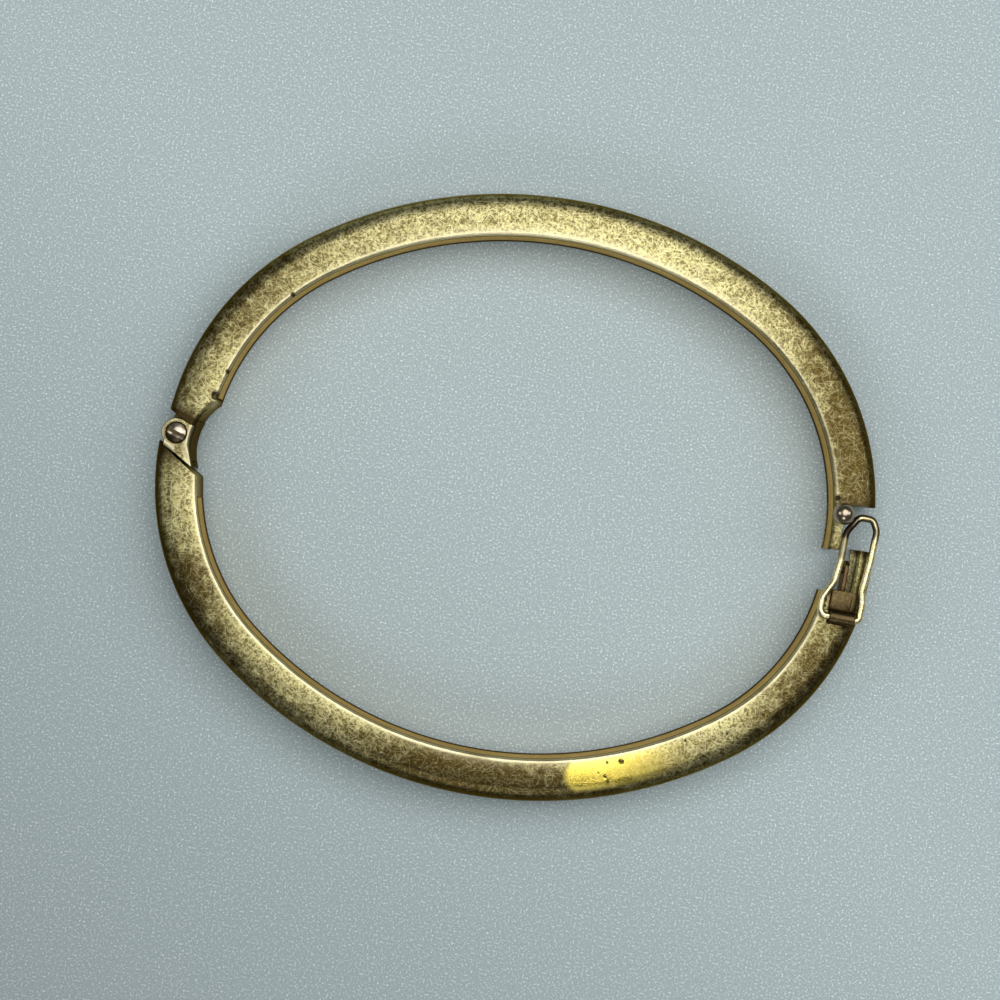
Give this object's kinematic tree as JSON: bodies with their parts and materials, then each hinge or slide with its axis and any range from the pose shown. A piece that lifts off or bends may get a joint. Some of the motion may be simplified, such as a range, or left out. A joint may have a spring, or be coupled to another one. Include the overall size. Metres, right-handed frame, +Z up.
{
  "type": "hinged bangle",
  "caption": "Oval hollow metal bangle in two halves, with a side hinge, a snap end that laps, and a wire safety catch beside a small ball.",
  "frame": {"origin": "middle of the part's own box, on the surface that it lies on, at the rest pose", "axes": "+X along the lower half's long axis, from the hinge to the clasp; +Y from the lower half to the upper half; +Z up, through the wrist opening, towards the side with the catch"},
  "size_m": [0.0668, 0.0558, 0.0086],
  "materials": {
    "gilt_metal": "worn satin, tarnished",
    "liner_metal": "dull",
    "screw_metal": "worn",
    "ball_metal": "polished",
    "dark_metal": "dark, tarnished",
    "spring_metal": "dull",
    "wire_metal": "polished"
  },
  "bodies": {
    "lower_half": {"lower_shell": "gilt_metal", "lower_liner": "liner_metal", "catch_block": "dark_metal", "snap_tongue": "spring_metal"},
    "upper_half": {"upper_shell": "gilt_metal", "end_plate": "gilt_metal", "upper_liner": "liner_metal", "hinge_screw": "screw_metal", "ball_stud": "ball_metal"},
    "catch": {"safety_catch": "wire_metal"}
  },
  "joints": [
    {"name": "bangle_hinge", "type": "hinge", "parent": "lower_half", "child": "upper_half", "pos_m": [-0.0317, -0.00006, 0.003], "axis": [0, 0, 1], "range_deg": [-3.6, 75]},
    {"name": "catch_hinge", "type": "hinge", "parent": "lower_half", "child": "catch", "pos_m": [0.03115, -0.00541, 0.00637], "axis": [1, 0, 0], "range_deg": [0, 110]}
  ]
}
